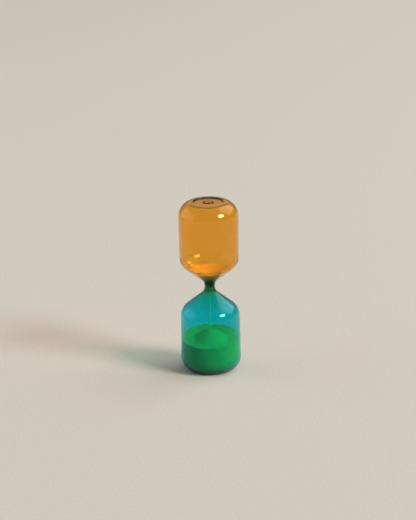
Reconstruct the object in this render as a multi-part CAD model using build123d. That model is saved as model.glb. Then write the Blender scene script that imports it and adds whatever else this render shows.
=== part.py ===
from build123d import *
from math import cos, hypot, radians, sin, tan
import os

# Sand timer of lampworked glass: two tube-shaped bulbs, amber above and blue below, fused at a
# narrow green waist, with yellow sand running from one to the other.
# Millimetres. +Z is the axis of the glass; the origin is the centre of the face that it stands on.

# ---- glass: driving dimensions ----
total_height = 174.0        # from one seat ring to the other
bulb_diameter = 60.2        # where the line of the tube meets the end slant; the round leaves 60.0
wall = 1.5                  # tube wall
funnel_wall = 1.7           # the glass gathers a little as the tube is drawn in
end_wall = 1.8              # at the seat ring; the inside of the end is flat, so the recess is thinner
tube_draw = 0.7             # the tube draws in by this much each side towards the funnel
neck_diameter = 10.1        # outside of the waist, at its narrowest
neck_land = 0.6             # straight length of the waist
neck_blend = 8.1            # outside radius from the waist into the funnel
funnel_slope = 37.5         # degrees above the horizontal
shoulder_blend = 14.9       # radius from the funnel into the tube, outside
shoulder_inner_blend = 14.4 # and inside
end_slant_run = 10.0        # slant from the tube to the seat ring: inwards
end_slant_rise = 5.2        # and upwards
end_round = 15.4            # outside radius from the tube into the slant
seat_round = 7.0            # radius at the outside of the seat ring
seat_width = 4.5            # flat ring that the glass stands on, before its edges are rounded
recess_step = 1.6           # side of the recess: inwards
recess_depth = 0.8          # and down
lip_round = 1.2             # radius at the inside of the seat ring
recess_root_round = 1.2     # radius round the floor of the recess

# ---- throat ----
orifice_diameter = 1.5      # sets how fast the sand runs
funnel_blend = 6.0          # inside radius from the orifice into the funnel
waist_rise = 6.5            # the fused green glass, above and below the narrowest point
waist_drop = 8.0

# ---- filling hole and its seal ----
filling_hole_diameter = 6.0
seal_head_diameter = 10.0
seal_head_height = 0.6      # lower than the recess is deep, so the glass still stands on its ring
seal_tail_height = 0.8      # bead of the seal on the inside
seal_tail_diameter = 7.6

# ---- sand ----
sand_gap = 0.2              # between the sand and the glass
bed_level = 34.1            # height on the axis of the broad surface of the lower sand
bed_tilt = 8.5              # degrees: it lies higher at the back, as it was left when last turned over
heap_foot = 16.0            # radius on the bed of the cone that the stream has built
heap_slope = 32.5           # degrees: angle of repose
heap_tip_round = 4.0
crater_rim_diameter = 37.0  # upper sand, where its surface meets the funnel
crater_slope = 24.0         # degrees: the drained crater
crater_tip_round = 6.0
stream_top = 0.9            # the stream starts this far above the narrowest point
stream_tip_gap = 0.3        # between the stream and the heap

# ---- derived ----
half_height = total_height / 2
orifice_radius = orifice_diameter / 2
funnel_rise = tan(radians(funnel_slope))
cone_start = neck_land / 2 + neck_blend * tan(radians((90 - funnel_slope) / 2))


def parallel(points, distances):
    """Corners of an open outline with each side moved to its left by its own distance."""
    sides = []
    for (r1, z1), (r2, z2) in zip(points, points[1:]):
        length = hypot(r2 - r1, z2 - z1)
        sides.append(((z1 - z2) / length, (r2 - r1) / length))
    moved = []
    for i, (r, z) in enumerate(points):
        first, last = max(i - 1, 0), min(i, len(sides) - 1)
        (ar, az), (br, bz) = sides[first], sides[last]
        if first == last:
            moved.append((r + ar * distances[first], z + az * distances[first]))
            continue
        turn = ar * bz - az * br
        dr = (distances[first] * bz - distances[last] * az) / turn
        dz = (distances[last] * ar - distances[first] * br) / turn
        moved.append((r + dr, z + dz))
    return moved


def turned(points, radii):
    """Solid of revolution between an outline with rounded corners and the axis."""
    outline = FilletPolyline(*[(r, 0, z) for r, z in points], radius=radii)
    closing = Polyline((0, 0, points[-1][1]), (0, 0, points[0][1]), (points[0][0], 0, points[0][1]))
    return revolve(make_face(outline.edges() + closing.edges()), Axis.Z)


def cone_cap(through, cone_angle, tip_round, reach, far_z):
    """Solid between a cone with a rounded tip and a level far_z.

    The cone passes through a radius and a height, and rises to the axis where cone_angle is positive.
    """
    radius, z = through
    rise = tan(radians(cone_angle))
    up = 1 if cone_angle > 0 else -1
    touch = tip_round * sin(radians(abs(cone_angle)))
    touch_z = z + (radius - touch) * rise
    tip_z = touch_z + up * tip_round * (1 - cos(radians(cone_angle)))
    tip = TangentArc((0, 0, tip_z), (touch, 0, touch_z), tangent=(1, 0, 0))
    rest = Polyline(
        (touch, 0, touch_z), (reach, 0, z - (reach - radius) * rise), (reach, 0, far_z), (0, 0, far_z),
        (0, 0, tip_z),
    )
    return revolve(make_face(tip.edges() + rest.edges()), Axis.Z)


def dome(radius, height):
    """Low round bead that stands on z = 0."""
    crown = TangentArc((0, 0, height), (radius, 0, 0), tangent=(1, 0, 0))
    foot = Polyline((0, 0, height), (0, 0, 0), (radius, 0, 0))
    return revolve(make_face(crown.edges() + foot.edges()), Axis.Z)


def disc(diameter, low, high):
    """Upright cylinder on the axis between two heights."""
    return Pos(0, 0, low) * Cylinder(diameter / 2, high - low, align=(Align.CENTER, Align.CENTER, Align.MIN))


def as_upper(solid):
    """Puts a solid that is drawn from the waist outwards into the upper bulb."""
    return Pos(0, 0, half_height) * solid


def as_lower(solid):
    """Puts a solid that is drawn from the waist outwards into the lower bulb."""
    return Pos(0, 0, half_height) * mirror(solid, Plane.XY)


# ---- glass outlines: radius and height above the narrowest point of the waist ----
neck_radius = neck_diameter / 2
tube_radius = bulb_diameter / 2
shoulder_radius = tube_radius - tube_draw
seat_radius = tube_radius - end_slant_run
recess_radius = seat_radius - seat_width - recess_step

outer_points = [
    (neck_radius, 0),
    (neck_radius, cone_start),
    (shoulder_radius, cone_start + (shoulder_radius - neck_radius) * funnel_rise),
    (tube_radius, half_height - end_slant_rise),
    (seat_radius, half_height),
    (seat_radius - seat_width, half_height),
    (recess_radius, half_height - recess_depth),
    (0, half_height - recess_depth),
]
outer_radii = [neck_blend, shoulder_blend, end_round, seat_round, lip_round, recess_root_round]

floor_out = half_height - recess_depth
floor_in = half_height - end_wall
inner_points = parallel(outer_points[:6], [funnel_wall, funnel_wall, wall, end_wall, end_wall])
funnel_r, funnel_z = inner_points[1]
inner_points[0] = (orifice_radius, 0)
inner_points[1] = (orifice_radius, funnel_z - (funnel_r - orifice_radius) * funnel_rise)
inner_points[5] = (0, floor_in)
inner_radii = [funnel_blend, shoulder_inner_blend, end_round - wall, seat_round - end_wall]

sand_points = parallel(inner_points, [sand_gap] * 5)
sand_radii = [funnel_blend + sand_gap] + [r - sand_gap for r in inner_radii[1:]]

# ---- glass ----
cavity = turned(inner_points, inner_radii)
half_glass = turned(outer_points, outer_radii) - cavity
rise_slab = disc(bulb_diameter, 0, waist_rise)
drop_slab = disc(bulb_diameter, 0, waist_drop)

filling_hole = disc(filling_hole_diameter, floor_in - end_wall, floor_out + end_wall)
seal = (
    Pos(0, 0, floor_out) * dome(seal_head_diameter / 2, seal_head_height)
    + disc(filling_hole_diameter, floor_in, floor_out)
    + Pos(0, 0, floor_in) * mirror(dome(seal_tail_diameter / 2, seal_tail_height), Plane.XY)
)

# ---- sand ----
sand_space = turned(sand_points, sand_radii)
stream_radius = orifice_radius - sand_gap
rim_radius = crater_rim_diameter / 2
rim_z = sand_points[1][1] + (rim_radius - sand_points[1][0]) * funnel_rise
crater = cone_cap((rim_radius, rim_z), -crater_slope, crater_tip_round, tube_radius, stream_top)

bed = Pos(0, 0, bed_level) * Rot(bed_tilt, 0, 0) * Box(
    2 * bulb_diameter, 2 * bulb_diameter, total_height, align=(Align.CENTER, Align.CENTER, Align.MAX)
)
heap = cone_cap((heap_foot, bed_level), heap_slope, heap_tip_round, tube_radius, 0)
heap_top = heap.bounding_box().max.Z

nodes = {
    "upper_bulb": as_upper(half_glass - rise_slab - filling_hole),
    "fused_waist": as_upper(half_glass & rise_slab) + as_lower(half_glass & drop_slab),
    "lower_bulb": as_lower(half_glass - drop_slab),
    "fill_hole_seal": as_upper(seal),
    "upper_sand": as_upper(sand_space & crater),
    "sand_stream": disc(2 * stream_radius, heap_top + stream_tip_gap, half_height + stream_top),
    "lower_sand": as_lower(sand_space) & (bed + heap),
}

os.makedirs("parts", exist_ok=True)
for name, solid in nodes.items():
    export_step(solid, f"parts/{name}.step")
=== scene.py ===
"""Sand timer of lampworked glass: amber bulb above, blue bulb below, yellow sand running between.

Everything is in metres in the row's frame: +Z up the axis of the glass, origin under the lower bulb.
"""
import logging
import math
from collections.abc import Callable, Iterable
from dataclasses import dataclass, field
from enum import Enum
from typing import Any

import bmesh
import bpy
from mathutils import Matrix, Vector, noise


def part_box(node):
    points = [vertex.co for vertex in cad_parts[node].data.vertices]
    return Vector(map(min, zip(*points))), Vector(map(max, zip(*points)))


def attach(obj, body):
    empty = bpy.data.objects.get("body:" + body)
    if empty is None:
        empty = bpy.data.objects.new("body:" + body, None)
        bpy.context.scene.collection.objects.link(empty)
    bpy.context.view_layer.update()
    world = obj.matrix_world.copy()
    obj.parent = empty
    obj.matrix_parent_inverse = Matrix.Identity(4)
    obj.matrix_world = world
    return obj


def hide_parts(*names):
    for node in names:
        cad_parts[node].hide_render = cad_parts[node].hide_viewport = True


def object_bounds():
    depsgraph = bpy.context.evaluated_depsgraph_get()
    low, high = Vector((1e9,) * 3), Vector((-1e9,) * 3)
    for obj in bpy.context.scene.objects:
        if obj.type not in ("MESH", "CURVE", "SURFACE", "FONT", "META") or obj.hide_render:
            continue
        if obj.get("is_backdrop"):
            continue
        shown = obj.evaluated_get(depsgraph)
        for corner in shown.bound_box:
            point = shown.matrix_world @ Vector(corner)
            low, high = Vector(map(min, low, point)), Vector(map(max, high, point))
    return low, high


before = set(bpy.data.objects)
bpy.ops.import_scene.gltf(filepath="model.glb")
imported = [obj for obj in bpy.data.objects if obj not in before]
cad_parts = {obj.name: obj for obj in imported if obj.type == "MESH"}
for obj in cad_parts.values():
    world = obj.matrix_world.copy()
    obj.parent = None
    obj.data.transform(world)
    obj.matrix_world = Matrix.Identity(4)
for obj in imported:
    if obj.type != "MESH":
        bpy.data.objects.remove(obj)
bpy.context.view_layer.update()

MM = 0.001
TAU = 2 * math.pi
UNDERCUT = 1 * MM               # the uncut lower sand starts this far below the cut one
FOOT_DEPTH = 0.6 * MM           # the shown stream runs on past the foot of the CAD one, into the heap

log = logging.getLogger("sand_timer")

Point = tuple[float, float]


# --------------------------------------------------------------------------- small tools


def linear(hex_colour: str) -> tuple[float, float, float, float]:
    """Turns an sRGB hex colour into the linear one that the shaders take.

    Args:
        hex_colour: Six hex digits, such as "d98a2b".

    Returns:
        Linear red, green, blue and an alpha of 1.
    """
    channels = (int(hex_colour[i:i + 2], 16) / 255 for i in (0, 2, 4))
    r, g, b = (c / 12.92 if c <= 0.04045 else ((c + 0.055) / 1.055) ** 2.4 for c in channels)
    return (r, g, b, 1.0)


def add(
    tree: bpy.types.NodeTree, kind: str, settings: dict[str, Any] | None = None,
    links: dict[str, bpy.types.NodeSocket] | None = None,
) -> bpy.types.Node:
    """Adds one shader node.

    Args:
        tree: The material's node tree.
        kind: The node's type, such as "ShaderNodeTexNoise".
        settings: Values by the name or number of an input socket, or by the name of a property.
        links: Sockets to plug in, by the name or number of the input socket.

    Returns:
        The new node.
    """
    node = tree.nodes.new(kind)
    for name, value in (settings or {}).items():
        if name.isdigit() or name in node.inputs:
            node.inputs[int(name) if name.isdigit() else name].default_value = value
        else:
            setattr(node, name, value)
    for name, socket in (links or {}).items():
        tree.links.new(socket, node.inputs[int(name) if name.isdigit() else name])
    return node


def rounded(corners: list[Point], radii: list[float], step: float) -> list[Point]:
    """Draws an open outline with its corners rounded by tangent arcs.

    Args:
        corners: Corner points, radius and height.
        radii: One radius for each corner but the first and the last.
        step: Greatest distance between two points of an arc.

    Returns:
        The points of the outline, ends included.
    """
    path = [corners[0]]
    for before, corner, after, radius in zip(corners, corners[1:], corners[2:], radii):
        here = Vector(corner)
        back, onward = (Vector(before) - here).normalized(), (Vector(after) - here).normalized()
        turn = math.pi - back.angle(onward)
        tangent = radius * math.tan(turn / 2)
        centre = here + (back + onward).normalized() * (radius / math.cos(turn / 2))
        first, last = here + back * tangent - centre, here + onward * tangent - centre
        count = max(2, math.ceil(radius * turn / step))
        for i in range(count + 1):
            t = i / count
            spoke = first * math.sin((1 - t) * turn) + last * math.sin(t * turn)
            path.append(tuple(centre + spoke / math.sin(turn)))
    return path + [corners[-1]]


def parallel(corners: list[Point], distances: list[float]) -> list[Point]:
    """Moves each side of an open outline to its left by its own distance.

    Args:
        corners: Corner points of the outline.
        distances: How far each side moves.

    Returns:
        The corner points of the moved outline.
    """
    sides = [(Vector(b) - Vector(a)).normalized() for a, b in zip(corners, corners[1:])]
    normals = [Vector((-s.y, s.x)) for s in sides]
    moved = [tuple(Vector(corners[0]) + normals[0] * distances[0])]
    for corner, n1, n2, d1, d2 in zip(corners[1:], normals, normals[1:], distances, distances[1:]):
        turn = n1.cross(n2)
        shift = Vector((d1 * n2.y - d2 * n1.y, d2 * n1.x - d1 * n2.x)) / turn
        moved.append(tuple(Vector(corner) + shift))
    return [*moved, tuple(Vector(corners[-1]) + normals[-1] * distances[-1])]


def subdivided(path: list[Point], step: float) -> list[Point]:
    """Adds points to the long straight runs of an outline, so that its faces stay small."""
    out = [path[0]]
    for a, b in zip(path, path[1:]):
        count = max(1, math.ceil(math.dist(a, b) / step))
        out += [
            (a[0] + (b[0] - a[0]) * i / count, a[1] + (b[1] - a[1]) * i / count)
            for i in range(1, count + 1)
        ]
    return out


# --------------------------------------------------------------------------- meshes


class Skin(Enum):
    """What a stretch of a glass outline is, which is also its material's place in the slots."""

    OUTSIDE = 0
    INSIDE = 1
    FUSED = 2


@dataclass
class Lathe:
    """Turns outlines about the axis of the glass into meshes."""

    segments: int = 144

    def turn(self, name: str, runs: list[tuple[list[Point], Skin]]) -> bpy.types.Object:
        """Makes a solid of revolution.

        Args:
            name: Name of the new object.
            runs: Stretches of one continuous outline, each with what it is.

        Returns:
            The new object, smooth shaded but for the seams between its runs, with its normals
            facing out.
        """
        mesh = bmesh.new()
        rings: dict[Point, list[bmesh.types.BMVert]] = {}
        for path, skin in runs:
            for a, b in zip(path, path[1:]):
                self._strip(mesh, self._ring(mesh, rings, a), self._ring(mesh, rings, b), skin)
        bmesh.ops.recalc_face_normals(mesh, faces=mesh.faces)
        for edge in mesh.edges:
            edge.smooth = len({face.material_index for face in edge.link_faces}) == 1
        data = bpy.data.meshes.new(name)
        mesh.to_mesh(data)
        mesh.free()
        piece = bpy.data.objects.new(name, data)
        bpy.context.scene.collection.objects.link(piece)
        return piece

    def _ring(
        self, mesh: bmesh.types.BMesh, rings: dict[Point, list[bmesh.types.BMVert]], point: Point
    ) -> list[bmesh.types.BMVert]:
        """Returns the ring of vertices at a point of the outline, or the one vertex on the axis."""
        key = (round(point[0], 9), round(point[1], 9))
        if key not in rings:
            count = self.segments if key[0] > 1e-7 else 1
            rings[key] = [
                mesh.verts.new((
                    point[0] * math.cos(TAU * i / count), point[0] * math.sin(TAU * i / count), point[1],
                ))
                for i in range(count)
            ]
        return rings[key]

    def _strip(
        self, mesh: bmesh.types.BMesh, low: list[bmesh.types.BMVert], high: list[bmesh.types.BMVert],
        skin: Skin,
    ) -> None:
        """Fills the band between two rings with faces."""
        for i in range(self.segments):
            j = (i + 1) % self.segments
            corners = [low[i % len(low)], low[j % len(low)], high[j % len(high)], high[i % len(high)]]
            face = mesh.faces.new(dict.fromkeys(corners))
            face.material_index = skin.value
            face.smooth = skin is not Skin.FUSED


LATHE = Lathe()


@dataclass
class BulbShape:
    """Outline of one bulb, as radius and height above the narrowest point of the waist."""

    half_height: float
    tube_radius: float = 30.1 * MM
    wall: float = 1.5 * MM
    funnel_wall: float = 1.7 * MM
    end_wall: float = 1.8 * MM
    tube_draw: float = 0.7 * MM
    neck_radius: float = 5.05 * MM
    neck_land: float = 0.6 * MM
    neck_blend: float = 8.1 * MM
    funnel_slope: float = math.radians(37.5)
    shoulder_blend: float = 14.9 * MM
    shoulder_inner_blend: float = 14.4 * MM
    end_slant: Point = (10.0 * MM, 5.2 * MM)
    end_round: float = 15.4 * MM
    seat_width: float = 4.5 * MM
    seat_round: float = 7.0 * MM
    recess_step: Point = (1.6 * MM, 0.8 * MM)
    lip_round: float = 1.2 * MM
    recess_root_round: float = 1.2 * MM
    orifice_radius: float = 0.75 * MM
    funnel_blend: float = 6.0 * MM
    step: float = 0.9 * MM

    @property
    def rise(self) -> float:
        """Height that the funnel gains for each unit of radius."""
        return math.tan(self.funnel_slope)

    @property
    def floor(self) -> float:
        """Height of the outside floor of the recess in the end."""
        return self.half_height - self.recess_step[1]

    @property
    def inner_floor(self) -> float:
        """Height of the flat inside of the end."""
        return self.half_height - self.end_wall

    def outer_corners(self) -> list[Point]:
        """Corners of the outside."""
        shoulder = self.tube_radius - self.tube_draw
        seat = self.tube_radius - self.end_slant[0]
        start = self.neck_land / 2 + self.neck_blend * math.tan((math.pi / 2 - self.funnel_slope) / 2)
        recess = seat - self.seat_width - self.recess_step[0]
        return [
            (self.neck_radius, 0.0),
            (self.neck_radius, start),
            (shoulder, start + (shoulder - self.neck_radius) * self.rise),
            (self.tube_radius, self.half_height - self.end_slant[1]),
            (seat, self.half_height),
            (seat - self.seat_width, self.half_height),
            (recess, self.floor),
            (0.0, self.floor),
        ]

    def outer_radii(self) -> list[float]:
        """Radii of the corners of the outside."""
        return [
            self.neck_blend, self.shoulder_blend, self.end_round, self.seat_round, self.lip_round,
            self.recess_root_round,
        ]

    def outside(self) -> list[Point]:
        """Outline of the outside, from the waist to the middle of the end."""
        return subdivided(rounded(self.outer_corners(), self.outer_radii(), self.step), 4 * self.step)

    def inside(self, inset: float = 0.0) -> list[Point]:
        """Outline of the hollow, from the waist to the middle of the end.

        Args:
            inset: How far inside the wall the outline runs.

        Returns:
            The points of the outline.
        """
        walls = [self.funnel_wall] * 2 + [self.wall] + [self.end_wall] * 2
        corners = parallel(self.outer_corners()[:6], walls)
        radius, height = corners[1]
        corners[0] = (self.orifice_radius, 0.0)
        corners[1] = (self.orifice_radius, height - (radius - self.orifice_radius) * self.rise)
        corners[5] = (0.0, self.inner_floor)
        radii = [
            self.funnel_blend, self.shoulder_inner_blend, self.end_round - self.wall,
            self.seat_round - self.end_wall,
        ]
        if inset:
            corners = parallel(corners, [inset] * 5)
            radii = [radii[0] + inset, *[radius - inset for radius in radii[1:]]]
        return subdivided(rounded(corners, radii, self.step), 4 * self.step)


# --------------------------------------------------------------------------- materials


def new_material(name: str) -> tuple[bpy.types.Material, bpy.types.NodeTree]:
    """Makes an empty material with its output node.

    Args:
        name: Name of the material.

    Returns:
        The material and its node tree.
    """
    material = bpy.data.materials.new(name)
    material.use_nodes = True
    material.node_tree.nodes.clear()
    material.node_tree.nodes.new("ShaderNodeOutputMaterial")
    return material, material.node_tree


def finish_surface(tree: bpy.types.NodeTree, surface: bpy.types.NodeSocket) -> None:
    """Plugs a surface into the material's output."""
    output = next(n for n in tree.nodes if n.type == "OUTPUT_MATERIAL")
    tree.links.new(surface, output.inputs["Surface"])


def bump(
    tree: bpy.types.NodeTree, height: bpy.types.NodeSocket, distance: float, strength: float
) -> bpy.types.NodeSocket:
    """Turns a height into a bumped normal.

    Args:
        tree: The material's node tree.
        height: Height, from 0 to 1.
        distance: Depth of the relief, in metres.
        strength: Share of it that shows.

    Returns:
        The normal.
    """
    node = add(tree, "ShaderNodeBump", {"Distance": distance, "Strength": strength}, {"Height": height})
    return node.outputs["Normal"]


def colour_ramp(
    tree: bpy.types.NodeTree, factor: bpy.types.NodeSocket, stops: Iterable[tuple[float, str]]
) -> bpy.types.NodeSocket:
    """Colours a factor by a ramp.

    Args:
        tree: The material's node tree.
        factor: Value from 0 to 1.
        stops: Places on the ramp, each with its sRGB hex colour.

    Returns:
        The colour.
    """
    node = add(tree, "ShaderNodeValToRGB", None, {"Fac": factor})
    elements = node.color_ramp.elements
    stops = list(stops)
    while len(elements) < len(stops):
        elements.new(1.0)
    for element, (place, colour) in zip(elements, stops):
        element.position = place
        element.color = linear(colour)
    return node.outputs["Color"]


@dataclass(frozen=True)
class TintedGlass:
    """Borosilicate glass with its colour in a thin skin on the outside.

    Blown in the flame: fire-polished, so its highlights are sharp, with faint lines along the tube
    where it was drawn and slow waves where it was worked. The skin tints what is seen through it,
    and the shade that it throws, but leaves its highlights white.
    """

    name: str
    tints: tuple[tuple[float, str], ...]    # height in metres in the row's frame, colour
    shade: str                              # what the light that passes through is tinted
    gleam: str                              # what it reflects straight on is tinted
    roughness: float = 0.02
    ior: float = 1.47
    cloud: float = 0.16                     # share by which the skin's depth of colour varies
    cloud_size: float = 7 * MM
    draw_line: float = 1.6 * MM
    wave: float = 9 * MM
    relief: float = 0.12 * MM               # depth of the lines and waves
    relief_share: float = 0.3               # and the share of it that shows

    def material(self) -> bpy.types.Material:
        """Makes the material."""
        material, tree = new_material(self.name)
        place = add(tree, "ShaderNodeTexCoord").outputs["Object"]
        low, high = self.tints[0][0], self.tints[-1][0]
        height = add(tree, "ShaderNodeSeparateXYZ", None, {"Vector": place}).outputs["Z"]
        along = add(tree, "ShaderNodeMapRange", {"From Min": low, "From Max": high}, {"Value": height})
        stops = [((z - low) / (high - low), colour) for z, colour in self.tints]
        tint = colour_ramp(tree, along.outputs["Result"], stops)
        drawn = add(tree, "ShaderNodeMapping", {"Scale": (1.0, 1.0, 0.3)}, {"Vector": place})
        clouds = add(
            tree, "ShaderNodeTexNoise", {"Scale": 1 / self.cloud_size, "Detail": 3.0, "Roughness": 0.5},
            {"Vector": drawn.outputs["Vector"]},
        )
        depth = add(
            tree, "ShaderNodeMapRange", {"To Min": 1 + self.cloud, "To Max": 1 - self.cloud},
            {"Value": clouds.outputs["Fac"]},
        )
        tinted = add(tree, "ShaderNodeGamma", None, {"Color": tint, "Gamma": depth.outputs["Result"]})
        glass = add(
            tree, "ShaderNodeBsdfPrincipled",
            {"Transmission Weight": 1.0, "IOR": self.ior, "Roughness": self.roughness,
             "Specular Tint": linear(self.gleam)},
            {"Base Color": tinted.outputs["Color"], "Normal": self._relief(tree, place)},
        )
        path = add(tree, "ShaderNodeLightPath")
        through = add(tree, "ShaderNodeBsdfTransparent", {"Color": linear(self.shade)})
        mix = add(
            tree, "ShaderNodeMixShader", None,
            {"0": path.outputs["Is Shadow Ray"], "1": glass.outputs["BSDF"], "2": through.outputs["BSDF"]},
        )
        finish_surface(tree, mix.outputs["Shader"])
        return material

    def _relief(self, tree: bpy.types.NodeTree, place: bpy.types.NodeSocket) -> bpy.types.NodeSocket:
        """Draw lines along the tube and slow waves, as a bumped normal."""
        drawn = add(tree, "ShaderNodeMapping", {"Scale": (1.0, 1.0, 0.06)}, {"Vector": place})
        lines = add(
            tree, "ShaderNodeTexNoise", {"Scale": 1 / self.draw_line, "Detail": 2.0},
            {"Vector": drawn.outputs["Vector"]},
        )
        waves = add(tree, "ShaderNodeTexNoise", {"Scale": 1 / self.wave, "Detail": 1.0}, {"Vector": place})
        both = add(
            tree, "ShaderNodeMath", {"operation": "MULTIPLY_ADD", "1": 0.12},
            {"0": lines.outputs["Fac"], "2": waves.outputs["Fac"]},
        )
        return bump(tree, both.outputs["Value"], self.relief, self.relief_share)


@dataclass(frozen=True)
class ClearGlass:
    """The uncoloured inside of the same wall: as bright and sharp, and it adds no tint."""

    name: str = "borosilicate_glass_inside"
    colour: str = "fbfcfb"
    roughness: float = 0.02
    ior: float = 1.47
    wave: float = 12 * MM
    relief: float = 0.12 * MM
    relief_share: float = 0.3
    shade: str = "f6f7f6"                   # what the light that passes through is tinted

    def material(self) -> bpy.types.Material:
        """Makes the material."""
        material, tree = new_material(self.name)
        place = add(tree, "ShaderNodeTexCoord").outputs["Object"]
        waves = add(tree, "ShaderNodeTexNoise", {"Scale": 1 / self.wave, "Detail": 1.0}, {"Vector": place})
        film = add(
            tree, "ShaderNodeMapRange", {"To Min": 0.95, "To Max": 1.0}, {"Value": waves.outputs["Fac"]}
        )
        colour = add(
            tree, "ShaderNodeMix",
            {"data_type": "RGBA", "blend_type": "MULTIPLY", "0": 1.0, "6": linear(self.colour)},
            {"7": film.outputs["Result"]},
        )
        glass = add(
            tree, "ShaderNodeBsdfPrincipled",
            {"Transmission Weight": 1.0, "IOR": self.ior, "Roughness": self.roughness},
            {"Base Color": colour.outputs[2],
             "Normal": bump(tree, waves.outputs["Fac"], self.relief, self.relief_share)},
        )
        path = add(tree, "ShaderNodeLightPath")
        through = add(tree, "ShaderNodeBsdfTransparent", {"Color": linear(self.shade)})
        mix = add(
            tree, "ShaderNodeMixShader", None,
            {"0": path.outputs["Is Shadow Ray"], "1": glass.outputs["BSDF"], "2": through.outputs["BSDF"]},
        )
        finish_surface(tree, mix.outputs["Shader"])
        return material


@dataclass(frozen=True)
class FusedGlass:
    """The cut where one piece of glass is melted into the next.

    There is glass on both sides of it, so light passes straight on and it can't be seen.
    """

    name: str = "borosilicate_glass_fused"

    def material(self) -> bpy.types.Material:
        """Makes the material."""
        material, tree = new_material(self.name)
        finish_surface(tree, add(tree, "ShaderNodeBsdfTransparent").outputs["BSDF"])
        return material


@dataclass(frozen=True)
class DyedSand:
    """Fine silica sand, sieved and dyed yellow: matt, with grains of slightly different colours.

    A grain is about 0.25 mm, too small to show, so its speckle and relief are drawn a few times
    coarser, under slow patches where dye and dust differ. Where it falls it is given lighter colours,
    which are painted light: the grains are apart there, and light comes through between them.
    """

    name: str = "dyed_silica_sand"
    light: str = "c6b25a"
    middle: str = "c0aa4e"
    dark: str = "b8a248"
    roughness: float = 0.9
    grain: float = 0.7 * MM
    patch: float = 7 * MM

    def material(self) -> bpy.types.Material:
        """Makes the material."""
        material, tree = new_material(self.name)
        place = add(tree, "ShaderNodeTexCoord").outputs["Object"]
        grains = add(
            tree, "ShaderNodeTexVoronoi", {"Scale": 1 / self.grain, "Randomness": 1.0}, {"Vector": place}
        )
        patches = add(
            tree, "ShaderNodeTexNoise", {"Scale": 1 / self.patch, "Detail": 4.0}, {"Vector": place}
        )
        pick = add(tree, "ShaderNodeSeparateColor", None, {"Color": grains.outputs["Color"]})
        mixed = add(
            tree, "ShaderNodeMath", {"operation": "MULTIPLY_ADD", "1": 0.35},
            {"0": pick.outputs["Red"], "2": patches.outputs["Fac"]},
        )
        colour = colour_ramp(
            tree, mixed.outputs["Value"], ((0.35, self.dark), (0.62, self.middle), (0.95, self.light))
        )
        sand = add(
            tree, "ShaderNodeBsdfPrincipled", {"Roughness": self.roughness, "Specular IOR Level": 0.15},
            {"Base Color": colour,
             "Normal": bump(tree, grains.outputs["Distance"], 0.25 * MM, 0.5)},
        )
        finish_surface(tree, sand.outputs["BSDF"])
        return material


@dataclass(frozen=True)
class PaperSweep:
    """Matt card of the studio table: pale warm grey with a faint tooth."""

    name: str = "matt_card"
    colour: str = "d1cfc8"
    shadowed: str = "cac8c1"
    tooth: float = 3 * MM

    def material(self) -> bpy.types.Material:
        """Makes the material."""
        material, tree = new_material(self.name)
        place = add(tree, "ShaderNodeTexCoord").outputs["Object"]
        tooth = add(tree, "ShaderNodeTexNoise", {"Scale": 1 / self.tooth, "Detail": 4.0}, {"Vector": place})
        colour = colour_ramp(tree, tooth.outputs["Fac"], ((0.3, self.shadowed), (0.7, self.colour)))
        card = add(
            tree, "ShaderNodeBsdfPrincipled", {"Roughness": 0.85, "Specular IOR Level": 0.2},
            {"Base Color": colour, "Normal": bump(tree, tooth.outputs["Fac"], 0.2 * MM, 0.2)},
        )
        finish_surface(tree, card.outputs["BSDF"])
        return material


AMBER = "amber_borosilicate_glass"
BLUE = "blue_borosilicate_glass_shaded_foot"
GREEN = "green_fused_borosilicate_glass"
SEAL = "amber_borosilicate_glass_seal"


def dressed(
    piece: bpy.types.Object, materials: list[bpy.types.Material], body: str, nodes: Iterable[str]
) -> bpy.types.Object:
    """Gives a finished piece its materials and its place in the frame.

    Args:
        piece: The piece.
        materials: Its materials, in the order of their slots.
        body: The CAD body that it moves with.
        nodes: The CAD nodes that it stands for.

    Returns:
        The piece.
    """
    for material in materials:
        piece.data.materials.append(material)
    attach(piece, body)
    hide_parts(*nodes)
    return piece


# --------------------------------------------------------------------------- glass


class End(Enum):
    """Which bulb of the timer: the way it points from the waist."""

    UPPER = 1
    LOWER = -1


def cut_at(path: list[Point], height: float) -> tuple[list[Point], list[Point]]:
    """Cuts an outline that rises from the waist at a height.

    Args:
        path: The outline, from the waist outwards.
        height: Height above the waist.

    Returns:
        The part below and the part above, which share the point of the cut.
    """
    i = next(i for i, point in enumerate(path) if point[1] > height)
    (r1, z1), (r2, z2) = path[i - 1], path[i]
    cut = (r1 + (r2 - r1) * (height - z1) / (z2 - z1), height)
    return [*path[:i], cut], [cut, *path[i:]]


def short_of(path: list[Point], radius: float) -> list[Point]:
    """Ends an outline that runs in along a level floor at a radius."""
    kept = [p for p in path if p[0] > radius or p[1] != path[-1][1]]
    return [*kept, (radius, path[-1][1])]


def bead(radius: float, height: float, base: float, steps: int = 8) -> list[Point]:
    """Outline of a low round bead, from its rim to its crown; a height below 0 hangs down."""
    sphere = (radius**2 + height**2) / (2 * abs(height))
    half = math.asin(radius / sphere)
    points = []
    for i in range(steps + 1):
        angle = half * (1 - i / steps)
        lift = sphere * math.cos(angle) - (sphere - abs(height))
        points.append((sphere * math.sin(angle), base + math.copysign(lift, height)))
    return points


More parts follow.
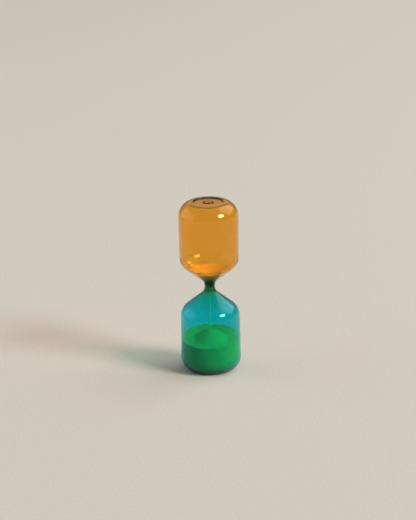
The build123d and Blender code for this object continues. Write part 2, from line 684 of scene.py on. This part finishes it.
@dataclass
class GlassBody:
    """The blown glass: two bulbs, the fused waist and the seal of the filling hole."""

    waist: float
    shape: BulbShape
    joints: dict[End, float]
    seal_head: float = 5.0 * MM
    seal_rise: float = 0.6 * MM
    seal_tail: float = 3.8 * MM
    seal_drop: float = 0.8 * MM
    hole: float = 3.0 * MM
    clear: bpy.types.Material = field(init=False)
    fused: bpy.types.Material = field(init=False)

    def __post_init__(self) -> None:
        """Makes the two materials that every piece of glass shares."""
        self.clear = ClearGlass().material()
        self.fused = FusedGlass().material()

    def placed(self, path: list[Point], end: End) -> list[Point]:
        """Puts an outline that is drawn from the waist outwards into one end of the timer."""
        return [(r, self.waist + end.value * z) for r, z in path]

    def bulb(self, end: End, name: str, node: str, finish: TintedGlass) -> bpy.types.Object:
        """Builds and dresses one bulb.

        Args:
            end: Which bulb.
            name: Name of the piece.
            node: The CAD node that it stands for.
            finish: Its glass.

        Returns:
            The bulb.
        """
        outside = cut_at(self.shape.outside(), self.joints[end])[1]
        inside = cut_at(self.shape.inside(), self.joints[end])[1]
        runs = [([inside[0], outside[0]], Skin.FUSED)]
        if end is End.UPPER:
            outside, inside = short_of(outside, self.seal_head), short_of(inside, self.seal_tail)
            runs.append((self._seal_wall(), Skin.FUSED))
        runs += [(outside, Skin.OUTSIDE), (inside, Skin.INSIDE)]
        piece = LATHE.turn(name, [(self.placed(path, end), skin) for path, skin in runs])
        return dressed(piece, [finish.material(), self.clear, self.fused], "glass", [node])

    def waist_piece(self, finish: TintedGlass) -> bpy.types.Object:
        """Builds and dresses the fused waist with its orifice."""
        runs = []
        for end in End:
            outside = cut_at(self.shape.outside(), self.joints[end])[0]
            inside = cut_at(self.shape.inside(), self.joints[end])[0]
            half = [(outside, Skin.OUTSIDE), (inside, Skin.INSIDE), ([inside[-1], outside[-1]], Skin.FUSED)]
            runs += [(self.placed(path, end), skin) for path, skin in half]
        piece = LATHE.turn("waist_glass", runs)
        materials = [finish.material(), self.clear, self.fused]
        return dressed(piece, materials, "glass", ["fused_waist"])

    def seal(self, finish: TintedGlass) -> bpy.types.Object:
        """Builds and dresses the bead that closes the filling hole."""
        floor = self.shape.floor
        runs = [
            (bead(self.seal_head, self.seal_rise, floor), Skin.OUTSIDE),
            (self._seal_wall(), Skin.FUSED),
            (bead(self.seal_tail, -self.seal_drop, self.shape.inner_floor), Skin.OUTSIDE),
        ]
        piece = LATHE.turn("seal_bead", [(self.placed(path, End.UPPER), skin) for path, skin in runs])
        materials = [finish.material(), self.clear, self.fused]
        return dressed(piece, materials, "glass", ["fill_hole_seal"])

    def _seal_wall(self) -> list[Point]:
        """Outline of the fused face between the bulb and its seal."""
        floor, under = self.shape.floor, self.shape.inner_floor
        return [(self.seal_head, floor), (self.hole, floor), (self.hole, under), (self.seal_tail, under)]


# --------------------------------------------------------------------------- sand


@dataclass
class SandMass:
    """One mass of sand, cut to the inside of its bulb at every level."""

    glass: GlassBody
    finish: bpy.types.Material
    lit_falling_sand: bpy.types.Material           # where the sand falls: a lighter copy of its colours, painted light
    gap: float = 0.12 * MM              # between the sand and the glass
    reach: float = 29.5 * MM            # the uncut mass reaches past the inside of the tube
    ring_step: float = 0.8 * MM
    unevenness: float = 0.12 * MM
    lump_size: float = 6 * MM
    crisp: float = math.radians(35)     # the rims sharper than this stay crisp
    stream_steps: int = 90
    stream_width: float = 0.85          # of the space that it has in the orifice
    stream_narrows: float = 0.25        # by this share as it speeds up
    stream_ragged: float = 0.12         # and its width varies by this share,
    stream_lumps: float = 40            # about this often

    def hollow(self, end: End, name: str) -> bpy.types.Object:
        """Builds the space inside a bulb, which the sand is cut to. It isn't shown."""
        path = self.glass.shape.inside(self.gap)
        path = [(0.0, path[0][1]), *path]
        space = LATHE.turn(name, [(self.glass.placed(path, end), Skin.OUTSIDE)])
        space.hide_render = True
        space.hide_viewport = True
        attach(space, "glass")
        return space

    def mass(
        self, name: str, end: End, surface: Callable[[float, float], float], base: float, body: str,
        node: str,
    ) -> bpy.types.Object:
        """Builds and dresses one mass of sand.

        Args:
            name: Name of the piece.
            end: The bulb that it lies in.
            surface: Height of its surface in the row's frame, by X and Y.
            base: Height of its underside.
            body: The CAD body that it moves with.
            node: The CAD node that it stands for.

        Returns:
            The mass of sand.
        """
        count = math.ceil(self.reach / self.ring_step)
        top = [(self.reach * i / count, base + self.reach) for i in range(count + 1)]
        below = [top[-1], (self.reach, base), (0.0, base)]
        piece = LATHE.turn(name, [(top, Skin.OUTSIDE), (below, Skin.OUTSIDE)])
        for vertex in piece.data.vertices:
            x, y, z = vertex.co
            if z > base + self.ring_step:
                lumps = noise.noise(Vector((x, y, end.value * self.reach)) / self.lump_size)
                vertex.co.z = surface(x, y) + self.unevenness * lumps
        cut = piece.modifiers.new("inside_of_the_bulb", "BOOLEAN")
        cut.operation, cut.solver = "INTERSECT", "EXACT"
        cut.object = self.hollow(end, f"{name}_space")
        split = piece.modifiers.new("crisp_rim", "EDGE_SPLIT")
        split.split_angle = self.crisp
        return dressed(piece, [self.finish], body, [node])

    def stream(self, low: float, high: float, radius: float) -> bpy.types.Object:
        """Builds and dresses the falling stream, which draws in as it speeds up.

        Args:
            low: Height where it meets the heap.
            high: Height where it leaves the upper sand.
            radius: Radius of the space that it has at the top.

        Returns:
            The stream.
        """
        path = [(0.0, high)]
        for i in range(self.stream_steps + 1):
            fall = i / self.stream_steps
            ragged = 1 + self.stream_ragged * noise.noise(Vector((0.0, 0.0, self.stream_lumps * fall)))
            width = self.stream_width * (1 - self.stream_narrows * math.sqrt(fall)) * ragged
            path.append((radius * width, high + (low - high) * fall))
        path.append((0.0, low))
        piece = LATHE.turn("falling_stream", [(path, Skin.OUTSIDE)])
        return dressed(piece, [self.lit_falling_sand], "upper_sand", ["sand_stream"])


def tilted_bed(
    level: float, tilt: float, heap: Callable[[float, float], float]
) -> Callable[[float, float], float]:
    """Surface of a tilted bed of sand with a heap on it.

    Args:
        level: Height of the bed on the axis.
        tilt: Angle by which it rises to the back.
        heap: Surface of the heap.

    Returns:
        Height by X and Y.
    """
    return lambda x, y: max(level + y * math.tan(tilt), heap(x, y))


def cone_surface(
    radius: float, height: float, slope: float, tip_round: float
) -> Callable[[float, float], float]:
    """Surface of a cone with a rounded tip.

    Args:
        radius: A radius that the cone passes through,
        height: and its height there.
        slope: Angle by which it rises to the axis; below 0 it is a crater.
        tip_round: Radius of the tip.

    Returns:
        Height by X and Y.
    """
    touch = tip_round * math.sin(abs(slope))
    touch_height = height + (radius - touch) * math.tan(slope)
    centre = touch_height - math.copysign(tip_round * math.cos(slope), slope)

    def surface(x: float, y: float) -> float:
        """Height of the surface at a place."""
        r = math.hypot(x, y)
        if r > touch:
            return height + (radius - r) * math.tan(slope)
        return centre + math.copysign(math.sqrt(tip_round**2 - r * r), slope)

    return surface


@dataclass(frozen=True)
class SandSurfaces:
    """How the sand lies: a tilted bed with its heap below, and a drained crater above."""

    bed_level: float = 34.1 * MM            # on the axis, in the row's frame
    bed_tilt: float = math.radians(8.5)
    heap_foot: float = 16.0 * MM
    heap_slope: float = math.radians(32.5)
    heap_tip_round: float = 4.0 * MM
    crater_slope: float = math.radians(-24)
    crater_tip_round: float = 6.0 * MM

    def heap(self) -> Callable[[float, float], float]:
        """Surface of the lower sand."""
        cone = cone_surface(self.heap_foot, self.bed_level, self.heap_slope, self.heap_tip_round)
        return tilted_bed(self.bed_level, self.bed_tilt, cone)

    def crater(self, rim: Vector) -> Callable[[float, float], float]:
        """Surface of the upper sand, from the far upper corner of its box."""
        return cone_surface(rim.x, rim.z, self.crater_slope, self.crater_tip_round)


# --------------------------------------------------------------------------- studio


@dataclass(frozen=True)
class SoftBox:
    """A flat, even light that faces the timer."""

    name: str
    shape: str                      # of its face, in Blender's words
    azimuth: float                  # degrees to the right of the camera, seen from the timer
    elevation: float                # degrees above the table
    distance: float                 # from the timer
    size: tuple[float, float]       # width and height of its face
    power: float                    # in watts
    colour: str                     # sRGB hex


SOFT_BOXES = (
    SoftBox("key_softbox", "ELLIPSE", 57, 33, 18.0, (7.5, 5.7), 2950.0, "fff6ea"),
    SoftBox("left_panel", "RECTANGLE", -97, 20, 2.5, (3.2, 1.8), 17.0, "eef3ff"),
    SoftBox("right_wall", "RECTANGLE", 118, 42, 3.5, (3.6, 2.8), 52.0, "fbf6f2"),
)


@dataclass
class Studio:
    """Table, lights and camera."""

    target: Vector
    elevation: float = math.radians(17.5)
    distance: float = 3.3
    roll: float = math.radians(-1.15)
    view_height: float = 0.5174         # of what the camera sees at the timer
    aim_up: float = 25.6 * MM
    aim_left: float = 1.2 * MM
    room_colour: str = "e8e6e2"
    room_strength: float = 0.335

    def table(self) -> None:
        """Lays the pale card that the timer stands on."""
        bpy.ops.mesh.primitive_plane_add(size=24.0)
        floor = bpy.context.object
        floor.name = "card_table"
        floor.data.materials.append(PaperSweep().material())
        floor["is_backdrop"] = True

    def light(self, box: SoftBox) -> None:
        """Hangs a soft box so that it faces the timer."""
        a, e = math.radians(box.azimuth), math.radians(box.elevation)
        out = Vector((math.sin(a) * math.cos(e), -math.cos(a) * math.cos(e), math.sin(e)))
        data = bpy.data.lights.new(box.name, "AREA")
        data.shape, data.size, data.size_y = box.shape, *box.size
        data.energy, data.color = box.power, linear(box.colour)[:3]
        lamp = bpy.data.objects.new(box.name, data)
        bpy.context.scene.collection.objects.link(lamp)
        lamp.location = self.target + out * box.distance
        lamp.rotation_euler = (-out).to_track_quat("-Z", "Y").to_euler()

    def surroundings(self) -> None:
        """Fills the room with an even pale light."""
        world = bpy.data.worlds.new("studio_room")
        world.use_nodes = True
        shade = world.node_tree.nodes["Background"]
        shade.inputs["Color"].default_value = linear(self.room_colour)
        shade.inputs["Strength"].default_value = self.room_strength
        bpy.context.scene.world = world
        bpy.context.scene.view_settings.view_transform = "Standard"

    def camera(self) -> None:
        """Sets up the long-lens camera."""
        back = Vector((0.0, -math.cos(self.elevation), math.sin(self.elevation)))
        data = bpy.data.cameras.new("camera")
        data.sensor_width = 36.0
        data.lens = data.sensor_width * self.distance / self.view_height
        data.clip_end = 100.0
        cam = bpy.data.objects.new("camera", data)
        bpy.context.scene.collection.objects.link(cam)
        place = self.target + back * self.distance
        up = Vector((0.0, math.sin(self.elevation), math.cos(self.elevation)))
        aim = self.target + up * self.aim_up - Vector((self.aim_left, 0.0, 0.0))
        look = (aim - place).to_track_quat("-Z", "Y").to_matrix().to_4x4()
        cam.matrix_world = look
        cam.location = place
        cam.rotation_euler.rotate_axis("Z", self.roll)
        bpy.context.scene.camera = cam


# --------------------------------------------------------------------------- the timer


def tinted_glasses(base: float, top: float, joint_low: float, joint_high: float) -> dict[str, TintedGlass]:
    """Describes the coloured glass of every piece, with its colour at each height; the near-black foot of
    the blue glass is painted shade.

    Args:
        base: Height that the timer stands at.
        top: Height of its upper end.
        joint_low: Height where the blue glass is fused to the green,
        joint_high: and where the green is fused to the amber.

    Returns:
        The finishes by the names of their materials.
    """
    waist = (base + top) / 2
    glasses = (
        TintedGlass(
            AMBER,
            ((joint_high, "3a3a0a"), (joint_high + 1.5 * MM, "8e6c0c"), (joint_high + 5 * MM, "e88e18"),
             (joint_high + 12 * MM, "ffae2e"), (top - 6 * MM, "ffae30"), (top, "ffbc44")),
            "dcbc9c", "fff0d4",
        ),
        TintedGlass(
            SEAL,
            ((top - 4 * MM, "d8460a"), (top - 3.1 * MM, "d8460a"), (top - 2.4 * MM, "ffb92a"),
             (top, "ffbb2c")),
            "dcbc9c", "fff0d4",
        ),
        TintedGlass(
            BLUE,
            # the blue glass darkens to near-black over its lowest 8 mm: painted shade for the dark line
            # under the foot
            ((base, "000604"), (base + 1.8 * MM, "001c18"), (base + 4 * MM, "007c86"),
             (base + 8 * MM, "00c6dc"), (joint_low - 14 * MM, "00c6dc"), (joint_low - 4 * MM, "0caea8"),
             (joint_low, "18b084")),
            "8cb098", "a8e2ea",
        ),
        TintedGlass(
            GREEN,
            ((joint_low, "18b084"), (waist - 2 * MM, "0c7c48"), (waist, "042410"),
             (joint_high - 1 * MM, "041404"), (joint_high, "3a3a0a")),
            "5f9a78", "b0d8c0",
        ),
    )
    return {finish.name: finish for finish in glasses}


def main() -> None:
    """Builds the timer and its studio, in order."""
    logging.basicConfig(level=logging.INFO, format="%(name)s: %(message)s")
    low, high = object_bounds()
    waist = (low.z + high.z) / 2
    joint_low, joint_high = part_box("fused_waist")
    shape = BulbShape(half_height=(high.z - low.z) / 2)
    glass = GlassBody(
        waist, shape, {End.UPPER: joint_high.z - waist, End.LOWER: waist - joint_low.z}
    )
    finishes = tinted_glasses(low.z, high.z, joint_low.z, joint_high.z)
    for piece in (
        glass.bulb(End.LOWER, "blue_bulb", "lower_bulb", finishes[BLUE]),
        glass.bulb(End.UPPER, "amber_bulb", "upper_bulb", finishes[AMBER]),
        glass.waist_piece(finishes[GREEN]),
        glass.seal(finishes[SEAL]),
    ):
        log.info("%s: %d faces", piece.name, len(piece.data.polygons))

    # The falling stream gets a lighter copy of the sand's colours: painted light for the light between its
    # grains.
    lit_falling_sand = DyedSand("dyed_silica_sand_falling_painted_light", "fff0b4", "ffe8a0", "f4da90")
    sand = SandMass(glass, DyedSand().material(), lit_falling_sand.material())
    surfaces = SandSurfaces()
    heap_low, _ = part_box("lower_sand")
    funnel_low, funnel_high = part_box("upper_sand")
    stream_low, stream_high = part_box("sand_stream")
    heap, crater = surfaces.heap(), surfaces.crater(funnel_high)
    for piece in (
        sand.mass("sand_heap", End.LOWER, heap, heap_low.z - UNDERCUT, "lower_sand", "lower_sand"),
        sand.mass("sand_left", End.UPPER, crater, funnel_low.z, "upper_sand", "upper_sand"),
        sand.stream(stream_low.z - FOOT_DEPTH, stream_high.z, stream_high.x),
    ):
        log.info("%s: %d faces", piece.name, len(piece.data.polygons))

    studio = Studio(Vector((0.0, 0.0, waist)))
    studio.table()
    for box in SOFT_BOXES:
        studio.light(box)
    studio.surroundings()
    studio.camera()


if __name__ == "__main__":
    main()
